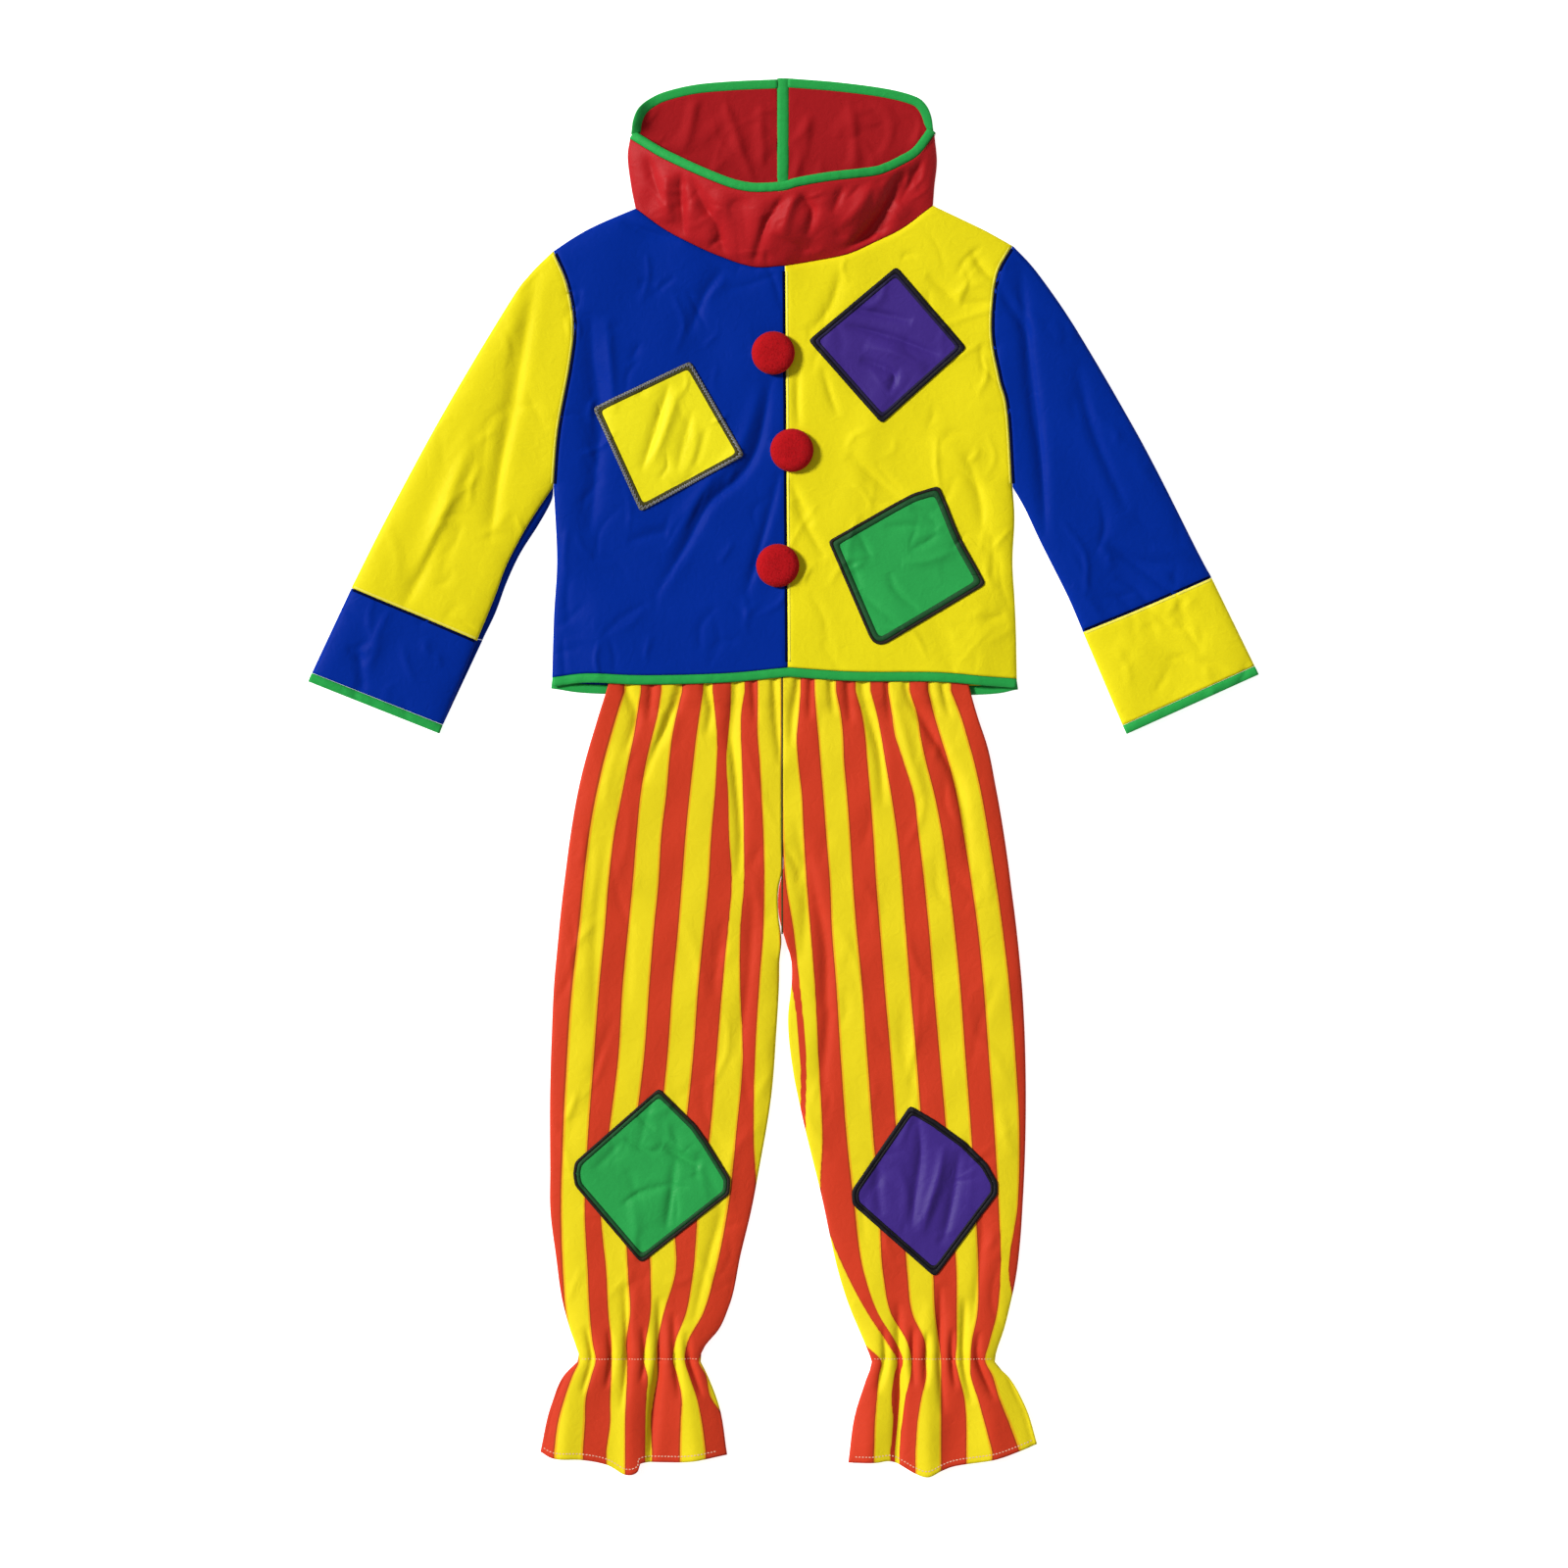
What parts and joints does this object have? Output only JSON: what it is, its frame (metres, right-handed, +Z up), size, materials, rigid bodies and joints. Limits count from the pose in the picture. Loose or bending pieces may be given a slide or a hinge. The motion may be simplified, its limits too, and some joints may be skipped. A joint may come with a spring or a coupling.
{
  "type": "clown costume",
  "caption": "Child's clown costume laid flat: long-sleeved top with a wide cowl collar, patches and round buttons, over striped trousers with gathered waist and ankles.",
  "frame": {"origin": "middle of the bounding box of the whole laid-out costume, on the surface that it lies on", "axes": "+Y from the trouser hems towards the collar, +X towards the wearer's left sleeve, +Z up out of the front"},
  "size_m": [0.9691, 1.4265, 0.0339],
  "materials": {
    "blue_satin": "smooth polyester, soft sheen",
    "yellow_satin": "smooth polyester, soft sheen",
    "red_satin": "satin, brighter sheen",
    "green_binding": "folded bias binding, matt",
    "striped_cloth": "printed red-orange and yellow stripes, matt",
    "patch_yellow": "smooth polyester, dark overlocked edge",
    "patch_purple": "satin, black overlocked edge",
    "patch_green": "satin, dark overlocked edge",
    "button_red": "flocked, fuzzy"
  },
  "bodies": {
    "root": {"back_left": "yellow_satin", "back_right": "blue_satin", "button_low": "button_red", "button_middle": "button_red", "button_top": "button_red", "collar_back_left": "red_satin", "collar_back_right": "red_satin", "collar_front": "red_satin", "cuff_binding_left_back": "green_binding", "cuff_binding_left_front": "green_binding", "cuff_binding_right_back": "green_binding", "cuff_binding_right_front": "green_binding", "cuff_left_back": "yellow_satin", "cuff_left_front": "yellow_satin", "cuff_right_back": "blue_satin", "cuff_right_front": "blue_satin", "front_left": "yellow_satin", "front_right": "blue_satin", "hem_binding_back": "green_binding", "hem_binding_front": "green_binding", "leg_left_back": "striped_cloth", "leg_left_front": "striped_cloth", "leg_right_back": "striped_cloth", "leg_right_front": "striped_cloth", "opening_binding": "green_binding", "patch_chest_green": "patch_green", "patch_chest_purple": "patch_purple", "patch_chest_yellow": "patch_yellow", "patch_knee_green": "patch_green", "patch_knee_purple": "patch_purple", "rim_binding_back_left": "green_binding", "rim_binding_back_right": "green_binding", "rim_binding_front": "green_binding", "sleeve_left_back": "blue_satin", "sleeve_left_front": "blue_satin", "sleeve_right_back": "blue_satin", "sleeve_right_front": "yellow_satin", "waistband_back": "striped_cloth", "waistband_front": "striped_cloth"}
  },
  "joints": []
}
